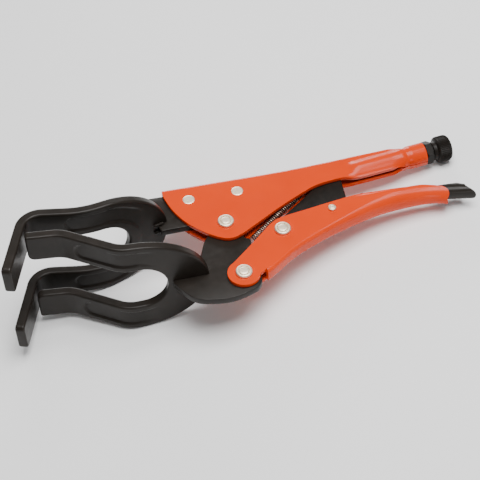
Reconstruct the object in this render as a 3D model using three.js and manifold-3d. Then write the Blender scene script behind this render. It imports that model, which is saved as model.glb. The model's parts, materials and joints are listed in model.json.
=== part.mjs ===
// Locking welding pliers with two U-shaped fork jaws, in the locked position.
//
// Everything is drawn in the pliers' own plane: origin on the jaw pivot, X towards the rear of
// the handles, Y towards the upper handle and Z along the pivots. The group at the end lays the
// tool on its side, the way it rests on a bench.
import * as THREE from 'three';
import Module from 'manifold-3d';
import { mergeVertices } from 'three/addons/utils/BufferGeometryUtils.js';

const wasm = await Module();
wasm.setup();

// ---- Driving dimensions (mm, degrees) ----
const GAP = 0.3; // clearance between pieces that touch
const PLATE_HALF = 2.6; // half the thickness of the jaw plates and the toggle
const INNER_HALF = PLATE_HALF + 0.4; // half the width inside the pressed handles
const WALL = 2.6; // sheet thickness of both handles
const OUTER_HALF = INNER_HALF + WALL;
const BEND_RADIUS = 3; // outside radius where a wall turns into the spine
const FAR = 80; // length of a cutting tool that only has to pass right through

const JAW_PIVOT = [0, 0];
const HANDLE_PIVOT = [2, -49.3];
const TOGGLE_PIVOT = [37.2, -16.9];
const LEVER_PIVOT = [76, -6.3];
const FRONT_RIVET = [-21.2, 28.3];
const REAR_RIVET = [14.5, 28.2];

const PIN_RADIUS = 4;
const PIN_HEAD_RADIUS = 5.9;
const PIN_HEAD_HEIGHT = 2;
const LEVER_PIN_RADIUS = 1.9;
const LEVER_PIN_HEAD_RADIUS = 2.9;
const LEVER_PIN_HEAD_HEIGHT = 1.3;
const RIVET_RADIUS = 4.35;

const FORK_THICKNESS = 6.8;
const FORK_OUTER_HALF = 40.7; // half the width over both prongs
const FORK_INNER_HALF = 18.5; // half the gap between the prongs
const UPPER_BEND_OUTER_X = -40.3;
const UPPER_BEND_INNER_X = -69;
const LOWER_BEND_OUTER_X = -20.6;
const LOWER_BEND_INNER_X = -49.5;
const UPPER_BEND_REACH = 47; // length along X of the round outside of each bend
const LOWER_BEND_REACH = 54;
const UPPER_TIP_X = -170; // past the hooks, which the side profile cuts
const LOWER_TIP_X = -139.1;
const TIP_OUTER_CORNER = 1.2; // cut off the corners of the lower pads
const TIP_INNER_CORNER = 2.6;
const HOOK_CORNER = 2; // and of the hooks' ends
const HOOK_BOTTOM_Y = -41.4;
const WELD_RADIUS = 1.2;
const UPPER_WELD = [-49, -42]; // where the beads run, under the upper fork
const LOWER_WELD = [-31, -24]; // and on top of the lower one

// Middle line of each bent bar, seen from the side: [x, y, bend radius].
const UPPER_FORK_LINE = [
  [-154.8, -40.6, 0],
  [-137.5, 10, 14],
  [-95, 1.8, 60],
  [-38, 17.9, 0],
];
const LOWER_FORK_LINE = [
  [-145, -10.9, 0],
  [-115.6, -14, 22],
  [-78.8, -38.9, 22],
  [-17, -39.2, 0],
];

// The adjusting screw: its axis starts at the nose that faces the toggle.
const SCREW_TIP = [92, 29.3];
const SCREW_RISE = 6.65;
const SCREW_NOSE_START = 3.2; // the open pivot's clearance, measured along the axis
const SCREW_NOSE_END = 14;
const SCREW_NOSE_RADIUS = 2.5;
const SCREW_RADIUS = 4.4;
const SCREW_END = 86;
const BULGE_RADIUS = 8;
const BULGE_START = 9.5;
const BULGE_END = 47.5;
const TUBE_RADIUS = 8.6;
const TUBE_START = 46.5;
const TUBE_END = 66.3;
const BORE_RADIUS = 5.4;
const INSERT_RADIUS = 7;
const INSERT_START = 52;
const NUT_START = 66.7;
const NUT_END = 72.3;
const NUT_RADIUS = 8.9;
const KNOB_START = 73;
const KNOB_END = 87.2;
const KNOB_RADIUS = 9.8;

const SPRING_RADIUS = 2.6;
const SPRING_EYE = [10.8, -19.8]; // hole in the lower jaw's tab
const SPRING_TAB = [71, 30]; // tab under the upper handle's spine

// How the tool lies: turned about Y and then about X until its three lowest points touch.
const LIE_TILT = 6.549;
const LIE_ROLL = -2.005;

// ---- Materials ----
const orange = new THREE.MeshStandardMaterial({ color: 0xf4692a, roughness: 0.35, metalness: 0 });
const black = new THREE.MeshStandardMaterial({ color: 0x2b2927, roughness: 0.4, metalness: 0.1 });
const nickel = new THREE.MeshStandardMaterial({ color: 0xc9c5bc, roughness: 0.35, metalness: 0.9 });
const darkSteel = new THREE.MeshStandardMaterial({ color: 0x34322f, roughness: 0.45, metalness: 0.7 });

// ---- Solids ----
function signedVolume(position, index) {
  const a = new THREE.Vector3();
  const b = new THREE.Vector3();
  const c = new THREE.Vector3();
  let volume = 0;
  for (let i = 0; i < index.length; i += 3) {
    a.fromBufferAttribute(position, index[i]);
    b.fromBufferAttribute(position, index[i + 1]);
    c.fromBufferAttribute(position, index[i + 2]);
    volume += a.dot(b.cross(c));
  }
  return volume;
}

function solidOf(geometry) {
  const bare = geometry.clone();
  bare.deleteAttribute('normal');
  bare.deleteAttribute('uv');
  const merged = mergeVertices(bare, 1e-4);
  const all = merged.index.array;
  const kept = [];
  for (let i = 0; i < all.length; i += 3) {
    const [a, b, c] = [all[i], all[i + 1], all[i + 2]];
    if (a !== b && b !== c && c !== a) kept.push(a, b, c);
  }
  if (signedVolume(merged.attributes.position, kept) < 0) kept.reverse();
  return new wasm.Manifold(new wasm.Mesh({
    numProp: 3,
    vertProperties: new Float32Array(merged.attributes.position.array),
    triVerts: new Uint32Array(kept),
  }));
}

function joined(...solids) {
  return solids.reduce((whole, next) => whole.add(next));
}

function cut(solid, ...tools) {
  return tools.reduce((rest, tool) => rest.subtract(tool), solid);
}

function piece(name, solid, material) {
  const { vertProperties, triVerts } = solid.getMesh();
  const geometry = new THREE.BufferGeometry();
  geometry.setAttribute('position', new THREE.BufferAttribute(new Float32Array(vertProperties), 3));
  geometry.setIndex(new THREE.BufferAttribute(new Uint32Array(triVerts), 1));
  geometry.computeVertexNormals();
  const mesh = new THREE.Mesh(geometry, material);
  mesh.name = name;
  return mesh;
}

// A closed path through [x, y, corner radius] points.
function roundedShape(points) {
  const shape = new THREE.Shape();
  points.forEach(([x, y, radius = 0], i) => {
    const corner = new THREE.Vector2(x, y);
    const before = new THREE.Vector2(...points.at(i - 1));
    const after = new THREE.Vector2(...points[(i + 1) % points.length]);
    const start = corner.clone().add(before.sub(corner).setLength(radius));
    const end = corner.clone().add(after.sub(corner).setLength(radius));
    if (i === 0) shape.moveTo(start.x, start.y);
    else shape.lineTo(start.x, start.y);
    if (radius > 0) shape.quadraticCurveTo(x, y, end.x, end.y);
  });
  shape.closePath();
  return shape;
}

// A shape in X and Y, given thickness along Z.
function slab(shape, low, high, curveSegments = 6) {
  const geometry = new THREE.ExtrudeGeometry(shape, {
    depth: high - low,
    bevelEnabled: false,
    curveSegments,
  });
  return solidOf(geometry.translate(0, 0, low));
}

// A shape drawn in X and Z, given thickness along Y.
function planSlab(shape, low, high, curveSegments = 12) {
  const geometry = new THREE.ExtrudeGeometry(shape, {
    depth: high - low,
    bevelEnabled: false,
    curveSegments,
  });
  return solidOf(geometry.rotateX(Math.PI / 2).translate(0, high, 0));
}

// A shape drawn in Z and Y, given thickness along X.
function frontSlab(shape, low, high) {
  const geometry = new THREE.ExtrudeGeometry(shape, { depth: high - low, bevelEnabled: false });
  return solidOf(geometry.rotateY(Math.PI / 2).translate(low, 0, 0));
}

function round([x, y], radius, half, segments = 24) {
  const geometry = new THREE.CylinderGeometry(radius, radius, 2 * half, segments);
  return solidOf(geometry.rotateX(Math.PI / 2).translate(x, y, 0));
}

function box([x0, x1], [y0, y1], half) {
  const geometry = new THREE.BoxGeometry(x1 - x0, y1 - y0, 2 * half);
  return solidOf(geometry.translate((x0 + x1) / 2, (y0 + y1) / 2, 0));
}

// A turned shape along a pivot: [radius, z] pairs that start and end on the axis.
function turnedPin([x, y], profile, segments = 24) {
  const points = profile.map(([radius, z]) => new THREE.Vector2(radius, z));
  return solidOf(new THREE.LatheGeometry(points, segments).rotateX(Math.PI / 2).translate(x, y, 0));
}

// A turned shape on the screw's axis: [radius, distance from the axis's start] pairs.
function turnedOnScrew(profile, segments = 24) {
  const points = profile.map(([radius, along]) => new THREE.Vector2(radius, along));
  const geometry = new THREE.LatheGeometry(points, segments);
  geometry.rotateZ(-Math.PI / 2);
  geometry.rotateZ(THREE.MathUtils.degToRad(SCREW_RISE));
  return solidOf(geometry.translate(...SCREW_TIP, 0));
}

function rodOnScrew(radius, start, end, segments = 24) {
  return turnedOnScrew([[0, start], [radius, start], [radius, end], [0, end]], segments);
}

// A solid skinned over rings of points, which all have the same count and are convex.
function loft(rings) {
  const count = rings[0].length;
  const positions = rings.flat().flat();
  const index = [];
  for (let r = 0; r + 1 < rings.length; r += 1) {
    for (let i = 0; i < count; i += 1) {
      const a = r * count + i;
      const b = r * count + ((i + 1) % count);
      index.push(a, b, a + count, b, b + count, a + count);
    }
  }
  const last = (rings.length - 1) * count;
  for (let i = 1; i + 1 < count; i += 1) {
    index.push(0, i + 1, i);
    index.push(last, last + i, last + i + 1);
  }
  const geometry = new THREE.BufferGeometry();
  geometry.setAttribute('position', new THREE.Float32BufferAttribute(positions, 3));
  geometry.setIndex(index);
  return solidOf(geometry);
}

// One cross-section of a pressed channel at x: a closed end with rounded corners at `closed`,
// walls at `half` from the middle that lean to `lip` at the open end.
function channelRing(x, closed, open, half, lip, radius) {
  const toOpen = Math.sign(open - closed);
  const side = [];
  const steps = 4;
  for (let i = 0; i <= steps; i += 1) {
    const angle = (i / steps) * (Math.PI / 2);
    const z = half - radius + radius * Math.sin(angle);
    side.push([x, closed + toOpen * radius * (1 - Math.cos(angle)), z]);
  }
  side.push([x, open - toOpen * 5, half], [x, open, lip]);
  const mirrored = side.map(([px, py, pz]) => [px, py, -pz]).reverse();
  return [...side, ...mirrored];
}

// Values between the rows of a table, by a smooth curve through them; the first column is x.
function sampled(table, steps) {
  const columns = table[0].length;
  const rows = [];
  for (let s = 0; s <= steps; s += 1) {
    const place = (s / steps) * (table.length - 1);
    const i = Math.min(Math.floor(place), table.length - 2);
    const t = place - i;
    const row = [];
    for (let c = 0; c < columns; c += 1) {
      const before = table[Math.max(i - 1, 0)][c];
      const after = table[Math.min(i + 2, table.length - 1)][c];
      const [from, to] = [table[i][c], table[i + 1][c]];
      const [rise0, rise1] = [(to - before) / 2, (after - from) / 2];
      row.push(from + t * (rise0 + t * (3 * (to - from) - 2 * rise0 - rise1
        + t * (2 * (from - to) + rise0 + rise1))));
    }
    rows.push(row);
  }
  return rows;
}

// ---- Fork jaws: a bent flat bar, seen from above and from the side ----
function forkPlan(tipX, outerX, innerX, reach, outerCorner, innerCorner) {
  const outerCentre = outerX - reach;
  const innerCentre = innerX - FORK_INNER_HALF;
  const shape = new THREE.Shape();
  shape.moveTo(tipX + outerCorner, -FORK_OUTER_HALF);
  shape.lineTo(outerCentre, -FORK_OUTER_HALF);
  shape.absellipse(outerCentre, 0, reach, FORK_OUTER_HALF, -Math.PI / 2, Math.PI / 2, false);
  shape.lineTo(tipX + outerCorner, FORK_OUTER_HALF);
  shape.lineTo(tipX, FORK_OUTER_HALF - outerCorner);
  shape.lineTo(tipX, FORK_INNER_HALF + innerCorner);
  shape.lineTo(tipX + innerCorner, FORK_INNER_HALF);
  shape.lineTo(innerCentre, FORK_INNER_HALF);
  shape.absarc(innerCentre, 0, FORK_INNER_HALF, Math.PI / 2, -Math.PI / 2, true);
  shape.lineTo(tipX + innerCorner, -FORK_INNER_HALF);
  shape.lineTo(tipX, -FORK_INNER_HALF - innerCorner);
  shape.lineTo(tipX, -FORK_OUTER_HALF + outerCorner);
  shape.closePath();
  return shape;
}

// The side view of a bar: straight runs joined by round bends, thickened to both sides.
function barProfile(line, thickness) {
  const middle = [];
  line.forEach(([x, y, radius], i) => {
    if (radius === 0) {
      middle.push(new THREE.Vector2(x, y));
      return;
    }
    const corner = new THREE.Vector2(x, y);
    const inward = new THREE.Vector2(line[i - 1][0], line[i - 1][1]).sub(corner).normalize();
    const onward = new THREE.Vector2(line[i + 1][0], line[i + 1][1]).sub(corner).normalize();
    const half = Math.acos(inward.dot(onward)) / 2;
    const centre = inward.clone().add(onward).setLength(radius / Math.sin(half)).add(corner);
    const start = inward.clone().multiplyScalar(radius / Math.tan(half)).add(corner).sub(centre);
    const end = onward.clone().multiplyScalar(radius / Math.tan(half)).add(corner).sub(centre);
    const turn = Math.sign(start.cross(end)) * (Math.PI - 2 * half);
    const steps = 6;
    for (let s = 0; s <= steps; s += 1) {
      middle.push(start.clone().rotateAround(new THREE.Vector2(), (turn * s) / steps).add(centre));
    }
  });
  const offset = (side) => middle.map((point, i) => {
    const before = middle[Math.max(i - 1, 0)];
    const after = middle[Math.min(i + 1, middle.length - 1)];
    const along = after.clone().sub(before).normalize();
    return new THREE.Vector2(-along.y, along.x).multiplyScalar((side * thickness) / 2).add(point);
  });
  return new THREE.Shape([...offset(1), ...offset(-1).reverse()]);
}

function fork(plan, line) {
  const seenFromSide = slab(barProfile(line, FORK_THICKNESS), -FAR, FAR);
  return planSlab(plan, -FAR, FAR).intersect(seenFromSide);
}

// The hooks' ends have cut corners: this keeps only what is inside the front view.
function hookEnds() {
  const prongs = [1, -1].map((side) => {
    const inner = side * FORK_INNER_HALF;
    const outer = side * FORK_OUTER_HALF;
    return frontSlab(new THREE.Shape([
      new THREE.Vector2(-inner - side * HOOK_CORNER, HOOK_BOTTOM_Y),
      new THREE.Vector2(-outer + side * HOOK_CORNER, HOOK_BOTTOM_Y),
      new THREE.Vector2(-outer, HOOK_BOTTOM_Y + HOOK_CORNER),
      new THREE.Vector2(-outer, FAR),
      new THREE.Vector2(-inner, FAR),
      new THREE.Vector2(-inner, HOOK_BOTTOM_Y + HOOK_CORNER),
    ]), -2 * FAR - 20, -100);
  });
  return joined(...prongs, box([-101, 0], [-FAR, FAR], FAR));
}

function upperFork() {
  const plan = forkPlan(
    UPPER_TIP_X, UPPER_BEND_OUTER_X, UPPER_BEND_INNER_X, UPPER_BEND_REACH, 0.01, 0.01,
  );
  return fork(plan, UPPER_FORK_LINE).intersect(hookEnds());
}

function lowerFork() {
  const plan = forkPlan(
    LOWER_TIP_X, LOWER_BEND_OUTER_X, LOWER_BEND_INNER_X, LOWER_BEND_REACH,
    TIP_OUTER_CORNER, TIP_INNER_CORNER,
  );
  return fork(plan, LOWER_FORK_LINE);
}

// The space that a fork takes out of its jaw plate, with the gap between them.
function forkSlot(line, outerX) {
  const section = slab(barProfile(line, FORK_THICKNESS + 2 * GAP), -FAR, FAR);
  return section.intersect(box([-2 * FAR, outerX + GAP], [-FAR, FAR], FAR));
}

// ---- Jaw plates ----
const JAW_BOSS_RADIUS = 12.5;
const HANDLE_LUG_RADIUS = 11.4;

function upperJawPlate() {
  const outline = roundedShape([
    [-60, 39.6, 10],
    [24, 37.4, 2],
    [24, 12, 3],
    [8, 5.6, 0],
    [-45.5, 5.6, 1.5],
    [-45.5, 14, 0],
    [-64, 12, 0],
  ]);
  const blank = slab(outline, -PLATE_HALF, PLATE_HALF);
  return cut(
    blank,
    forkSlot(UPPER_FORK_LINE, UPPER_BEND_OUTER_X),
    round(JAW_PIVOT, JAW_BOSS_RADIUS + 2 * GAP, FAR, 40),
    round(FRONT_RIVET, RIVET_RADIUS + GAP, FAR),
    round(REAR_RIVET, RIVET_RADIUS + GAP, FAR),
  );
}

function lowerJawPlate() {
  const outline = roundedShape([
    [-12.3, 0, 0],
    [-12.3, -4, 2],
    [-18.5, -12, 3],
    [-24, -26, 6],
    [-31, -35, 3],
    [-31, -40, 0],
    [-46, -40, 0],
    [-46, -45, 2],
    [-35, -63, 9],
    [-9, -68.4, 12],
    [12.5, -60.5, 6],
    [14.3, -49, 5],
    [10, -36, 5],
    [8.5, -26, 2],
    [13, -24, 2],
    [13.6, -17.2, 1.5],
    [9.5, -14.5, 1],
    [12.3, -4, 2],
    [12.3, 0, 0],
  ]);
  const body = slab(outline, -PLATE_HALF, PLATE_HALF);
  const boss = round(JAW_PIVOT, JAW_BOSS_RADIUS, PLATE_HALF, 40);
  return cut(
    joined(body, boss),
    forkSlot(LOWER_FORK_LINE, LOWER_BEND_OUTER_X),
    round(JAW_PIVOT, PIN_RADIUS + GAP, FAR),
    round(HANDLE_PIVOT, PIN_RADIUS + GAP, FAR),
    round(SPRING_EYE, 1.7, FAR, 16),
  );
}

// A weld bead in the corner between a fork's flat face and one face of its plate.
function weldBead(line, [fromX, toX], across, side) {
  const [[x0, y0], [x1, y1]] = line.slice(-2);
  const middle = (x) => y0 + ((x - x0) * (y1 - y0)) / (x1 - x0);
  const lift = across * (FORK_THICKNESS / 2 + GAP + WELD_RADIUS);
  const height = side * (PLATE_HALF + GAP + WELD_RADIUS);
  const [start, end] = [fromX, toX].map((x) => new THREE.Vector3(x, middle(x) + lift, height));
  const length = start.distanceTo(end);
  const bead = new THREE.CapsuleGeometry(WELD_RADIUS, length, 4, 12);
  const angle = Math.atan2(end.y - start.y, end.x - start.x);
  const centre = start.add(end).divideScalar(2);
  return solidOf(bead.rotateZ(angle - Math.PI / 2).translate(...centre));
}

// ---- Handles ----
// Top of the upper handle: [x, top of the spine, half width at the lips].
const UPPER_SPINE = [
  [-46, 43.3, OUTER_HALF],
  [0, 42.1, OUTER_HALF],
  [50, 41.3, OUTER_HALF],
  [92, 42.6, OUTER_HALF],
  [104, 43.3, 4.4],
  [125, 44.2, 3.8],
  [141, 45, 3.8],
];

const UPPER_EDGE = [
  [-38.2, 46],
  [-38.8, 37],
  [-34.6, 21],
  [-27, 6.2],
  [-16.2, -6.2],
  [-6, -14],
  [1, -15.9],
  [8, -14],
  [19.2, -7.7],
  [40, 4.6],
  [60, 15],
  [73, 20.2],
  [90, 22.4],
  [102, 21.4],
  [120, 23],
  [136, 24.8],
  [140.5, 29],
];

// Opening along the underside of the barrel, between the handle's closed lips.
const TUBE_SLOT_X = [94, 143.5];
const TUBE_SLOT_Y = [16, 32];
const TUBE_SLOT_HALF = 1.6;

function upperHandleRings(sheet, reach) {
  return sampled(UPPER_SPINE, 14).map(([x, top, lip]) => {
    const low = x < 96 ? -30 : 21;
    return channelRing(x, top - sheet, low - reach, OUTER_HALF - sheet, lip - sheet,
      Math.max(BEND_RADIUS - sheet, 0.4));
  });
}

function upperHandle() {
  const edge = new THREE.SplineCurve(UPPER_EDGE.map(([x, y]) => new THREE.Vector2(x, y)));
  const sideView = new THREE.Shape([...edge.getPoints(44), new THREE.Vector2(140.5, 46)]);
  const channel = loft(upperHandleRings(0, 0)).intersect(slab(sideView, -FAR, FAR));
  const bulge = turnedOnScrew([
    [0, BULGE_START],
    [4, BULGE_START],
    [BULGE_RADIUS, BULGE_START + 4],
    [BULGE_RADIUS, BULGE_END],
    [0, BULGE_END],
  ], 28);
  const tube = turnedOnScrew([
    [0, TUBE_START - 2],
    [5, TUBE_START - 2],
    [TUBE_RADIUS, TUBE_START + 1],
    [TUBE_RADIUS, TUBE_END - 1],
    [TUBE_RADIUS - 1, TUBE_END],
    [0, TUBE_END],
  ], 28);
  const slot = box(TUBE_SLOT_X, TUBE_SLOT_Y, TUBE_SLOT_HALF);
  const [tabX, tabY] = SPRING_TAB;
  const tab = box([tabX - 0.9, tabX + 0.9], [tabY - 4.5, tabY + 9.5], 2.2);
  const shell = cut(
    joined(channel, bulge, tube),
    loft(upperHandleRings(WALL, 4)),
    rodOnScrew(BORE_RADIUS, BULGE_START + 2, INSERT_START, 24),
    rodOnScrew(INSERT_RADIUS, INSERT_START - 0.01, TUBE_END + 1, 24),
    slot,
    round(JAW_PIVOT, PIN_RADIUS + GAP, FAR),
    round(FRONT_RIVET, RIVET_RADIUS + GAP, FAR),
    round(REAR_RIVET, RIVET_RADIUS + GAP, FAR),
  );
  return joined(shell, tab);
}

// Spine of the lower handle: [x, bottom, half width, corner radius].
const SPINE_START_X = 16.6; // clear of the jaw plate as the handle swings
const LOWER_SPINE = [
  [SPINE_START_X, -53.1, OUTER_HALF, BEND_RADIUS],
  [23, -49.8, OUTER_HALF, BEND_RADIUS],
  [42.6, -36.2, OUTER_HALF, BEND_RADIUS],
  [62.9, -26.6, 5.8, 3.2],
  [83.3, -19.4, 6.6, 4.4],
  [103.8, -13.6, 7.8, 6.4],
  [120, -11, 8.8, 8],
  [134, -10.4, 8.8, 8.4],
  [147, -10.7, 8.8, 8.4],
  [157, -12.4, 8.8, 8.4],
  [167, -15.4, 8.8, 8.4],
];

const LOWER_EDGE = [
  [-6, -41.6],
  [8.5, -29],
  [23.8, -15.2],
  [31, -9],
  [39, -5.2],
  [60, -2],
  [80, 0.4],
  [103, 2.2],
  [130, 0.8],
  [146, -0.8],
  [168, -6],
];

function lowerHandleRings(sheet) {
  const rings = sampled(LOWER_SPINE, 20).map(([x, bottom, half, radius]) => channelRing(
    x, bottom + sheet, 30, half - sheet, half - sheet, Math.max(radius - sheet, 0.4),
  ));
  const front = channelRing(-14, -70, 30, OUTER_HALF - sheet, OUTER_HALF - sheet, 0.4);
  const step = channelRing(SPINE_START_X - 0.3, -70, 30, OUTER_HALF - sheet, OUTER_HALF - sheet, 0.4);
  return [front, step, ...rings];
}

function lowerHandle() {
  const edge = new THREE.SplineCurve(LOWER_EDGE.map(([x, y]) => new THREE.Vector2(x, y)));
  const sideView = new THREE.Shape([
    ...edge.getPoints(30),
    new THREE.Vector2(168, -FAR),
    new THREE.Vector2(SPINE_START_X, -FAR),
    new THREE.Vector2(SPINE_START_X, -53.2),
    new THREE.Vector2(8, -52),
  ]);
  const side = joined(slab(sideView, -FAR, FAR), round(HANDLE_PIVOT, HANDLE_LUG_RADIUS, FAR, 40));
  const rearEnd = new THREE.Shape();
  rearEnd.moveTo(-20, -FAR);
  rearEnd.lineTo(153.5, -FAR);
  rearEnd.absarc(153.5, 0, 10.2, -Math.PI / 2, Math.PI / 2, false);
  rearEnd.lineTo(-20, FAR);
  return cut(
    loft(lowerHandleRings(0)).intersect(side).intersect(planSlab(rearEnd, -FAR, FAR)),
    loft(lowerHandleRings(WALL)),
    round(HANDLE_PIVOT, PIN_RADIUS + GAP, FAR),
    round(TOGGLE_PIVOT, PIN_RADIUS + GAP, FAR),
    round(LEVER_PIVOT, LEVER_PIN_RADIUS + GAP, FAR, 16),
  );
}

// ---- Toggle, release lever and springs ----
function toggleLink() {
  const outline = roundedShape([
    [30.5, -10.5, 5],
    [84, 31, 4],
    [89.5, 34.5, 2],
    [91, 26, 4],
    [89.6, 4.2, 2],
    [84, 2.2, 3],
    [56, -3.2, 8],
    [44, -22.5, 6],
    [30, -23.5, 5],
  ]);
  return cut(slab(outline, -PLATE_HALF, PLATE_HALF), round(TOGGLE_PIVOT, PIN_RADIUS + GAP, FAR));
}

// Lever, a narrow pressed channel that opens upwards: [x, bottom, half width, corner radius].
const LEVER_SHEET = 1.6;
const LEVER_SPINE = [
  [66, -13.6, 2.6, 1.8],
  [84, -13.2, 2.7, 1.8],
  [100, -10.8, 3.8, 2.6],
  [120, -7.9, 5.6, 4.6],
  [134, -7.4, 5.7, 5],
  [150, -8, 5.7, 5],
  [164, -10.6, 5.7, 5],
  [184, -14.4, 5.5, 5],
];
const LEVER_EDGE = [
  [68, -8],
  [70, -4.4],
  [78, -2.6],
  [89, -0.6],
  [96, 1.2],
  [99.5, 5],
  [103, 4.6],
  [107, 0.6],
  [125, -0.4],
  [150, -0.9],
  [168, -2.6],
  [176, -4.8],
  [180.5, -9],
  [181.5, -14.5],
];

function releaseLever() {
  const rings = (sheet) => sampled(LEVER_SPINE, 16).map(([x, bottom, half, radius]) => channelRing(
    x, bottom + sheet, 20, half - sheet, half - sheet, Math.max(radius - sheet, 0.3),
  ));
  const edge = new THREE.SplineCurve(LEVER_EDGE.map(([x, y]) => new THREE.Vector2(x, y)));
  const sideView = new THREE.Shape([
    ...edge.getPoints(36),
    new THREE.Vector2(181.5, -FAR),
    new THREE.Vector2(68, -FAR),
  ]);
  const tail = new THREE.Shape();
  tail.moveTo(0, -FAR);
  tail.lineTo(175.5, -FAR);
  tail.absarc(175.5, 0, 6.5, -Math.PI / 2, Math.PI / 2, false);
  tail.lineTo(0, FAR);
  return cut(
    loft(rings(0)).intersect(slab(sideView, -FAR, FAR)).intersect(planSlab(tail, -FAR, FAR)),
    loft(rings(LEVER_SHEET)),
    round(LEVER_PIVOT, LEVER_PIN_RADIUS + GAP, FAR, 16),
  );
}

// The return spring as the plain outside of its coil, with a thin hook at each end.
function returnSpring() {
  const from = new THREE.Vector3(...SPRING_EYE, 0);
  const to = new THREE.Vector3(SPRING_TAB[0] - 1.6, SPRING_TAB[1] - 3, 0);
  const length = from.distanceTo(to);
  const wire = 0.6;
  const profile = [
    [0, 4.4],
    [wire, 4.4],
    [wire, 7],
    [SPRING_RADIUS, 8.5],
    [SPRING_RADIUS, length - 5],
    [wire, length - 3.5],
    [wire, length],
    [0, length],
  ];
  const points = profile.map(([radius, along]) => new THREE.Vector2(radius, along));
  const geometry = new THREE.LatheGeometry(points, 12);
  const angle = Math.atan2(to.y - from.y, to.x - from.x);
  return solidOf(geometry.rotateZ(angle - Math.PI / 2).translate(from.x, from.y, 0));
}

// ---- Pins, rivets and the adjusting screw ----
function headedPin(centre, radius, headRadius, headHeight) {
  const seat = OUTER_HALF + GAP;
  const crown = seat + headHeight;
  return turnedPin(centre, [
    [0, -crown],
    [headRadius - 0.6, -crown],
    [headRadius, -crown + 0.6],
    [headRadius, -seat],
    [radius, -seat],
    [radius, seat],
    [headRadius, seat],
    [headRadius, crown - 0.6],
    [headRadius - 0.6, crown],
    [0, crown],
  ]);
}

function leverPin() {
  const seat = 6.5 + GAP;
  const crown = seat + LEVER_PIN_HEAD_HEIGHT;
  return turnedPin(LEVER_PIVOT, [
    [0, -crown],
    [LEVER_PIN_HEAD_RADIUS - 0.5, -crown],
    [LEVER_PIN_HEAD_RADIUS, -crown + 0.5],
    [LEVER_PIN_HEAD_RADIUS, -seat],
    [LEVER_PIN_RADIUS, -seat],
    [LEVER_PIN_RADIUS, seat],
    [LEVER_PIN_HEAD_RADIUS, seat],
    [LEVER_PIN_HEAD_RADIUS, crown - 0.5],
    [LEVER_PIN_HEAD_RADIUS - 0.5, crown],
    [0, crown],
  ], 20);
}

function flushRivet(centre) {
  return round(centre, RIVET_RADIUS, OUTER_HALF + 0.1, 28);
}

function adjustingScrew() {
  return turnedOnScrew([
    [0, SCREW_NOSE_START],
    [SCREW_NOSE_RADIUS - 0.5, SCREW_NOSE_START],
    [SCREW_NOSE_RADIUS, SCREW_NOSE_START + 0.5],
    [SCREW_NOSE_RADIUS, SCREW_NOSE_END],
    [SCREW_RADIUS, SCREW_NOSE_END + 1.5],
    [SCREW_RADIUS, SCREW_END - 3],
    [0, SCREW_END - 3],
  ], 24);
}

function threadedInsert() {
  const outside = rodOnScrew(INSERT_RADIUS - GAP, INSERT_START + GAP, TUBE_END - 0.5, 24);
  return cut(outside, rodOnScrew(SCREW_RADIUS + GAP, 0, SCREW_END, 24));
}

function lockNut() {
  const hex = turnedOnScrew([
    [0, NUT_START],
    [NUT_RADIUS - 0.8, NUT_START],
    [NUT_RADIUS, NUT_START + 0.8],
    [NUT_RADIUS, NUT_END - 0.8],
    [NUT_RADIUS - 0.8, NUT_END],
    [0, NUT_END],
  ], 6);
  return cut(hex, rodOnScrew(SCREW_RADIUS + GAP, 0, SCREW_END, 24));
}

function adjustingKnob() {
  const outside = turnedOnScrew([
    [0, KNOB_START],
    [KNOB_RADIUS - 3, KNOB_START],
    [KNOB_RADIUS - 2.6, KNOB_START + 1.2],
    [KNOB_RADIUS - 0.8, KNOB_START + 2],
    [KNOB_RADIUS, KNOB_START + 3],
    [KNOB_RADIUS, KNOB_END - 3.4],
    [KNOB_RADIUS - 1, KNOB_END - 1.2],
    [KNOB_RADIUS - 3, KNOB_END - 0.2],
    [0, KNOB_END],
  ], 36);
  return cut(outside, rodOnScrew(SCREW_RADIUS + GAP, 0, SCREW_END - 3 + GAP, 24));
}

// ---- The assembly ----
const pliers = new THREE.Group();
pliers.add(
  piece('upper_handle', upperHandle(), orange),
  piece('upper_jaw_plate', upperJawPlate(), black),
  piece('upper_fork', upperFork(), black),
  piece('lower_jaw_plate', lowerJawPlate(), black),
  piece('lower_fork', lowerFork(), black),
  piece('lower_handle', lowerHandle(), orange),
  piece('toggle_link', toggleLink(), darkSteel),
  piece('release_lever', releaseLever(), black),
  piece('return_spring', returnSpring(), nickel),
  piece('adjusting_screw', adjustingScrew(), darkSteel),
  piece('adjusting_knob', adjustingKnob(), darkSteel),
  piece('lock_nut', lockNut(), darkSteel),
  piece('threaded_insert', threadedInsert(), darkSteel),
  piece('front_rivet', flushRivet(FRONT_RIVET), nickel),
  piece('rear_rivet', flushRivet(REAR_RIVET), nickel),
  piece('release_lever_pin', leverPin(), nickel),
);

for (const [name, centre] of [
  ['jaw_pivot_pin', JAW_PIVOT],
  ['handle_pivot_pin', HANDLE_PIVOT],
  ['toggle_pin', TOGGLE_PIVOT],
]) {
  pliers.add(piece(name, headedPin(centre, PIN_RADIUS, PIN_HEAD_RADIUS, PIN_HEAD_HEIGHT), nickel));
}

for (const [side, direction] of [['near', 1], ['far', -1]]) {
  const upper = weldBead(UPPER_FORK_LINE, UPPER_WELD, -1, direction);
  const lower = weldBead(LOWER_FORK_LINE, LOWER_WELD, 1, direction);
  pliers.add(piece(`upper_weld_${side}`, upper, black));
  pliers.add(piece(`lower_weld_${side}`, lower, black));
}

const lying = new THREE.Group();
lying.rotation.set(THREE.MathUtils.degToRad(LIE_ROLL), THREE.MathUtils.degToRad(LIE_TILT), 0);
lying.add(pliers);

// The origin is on the floor, under the middle of the outline.
const outline = new THREE.Box3().setFromObject(lying, true);
const middle = outline.getCenter(new THREE.Vector3());
lying.position.set(-middle.x, -middle.y, -outline.min.z);

export default lying;
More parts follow.
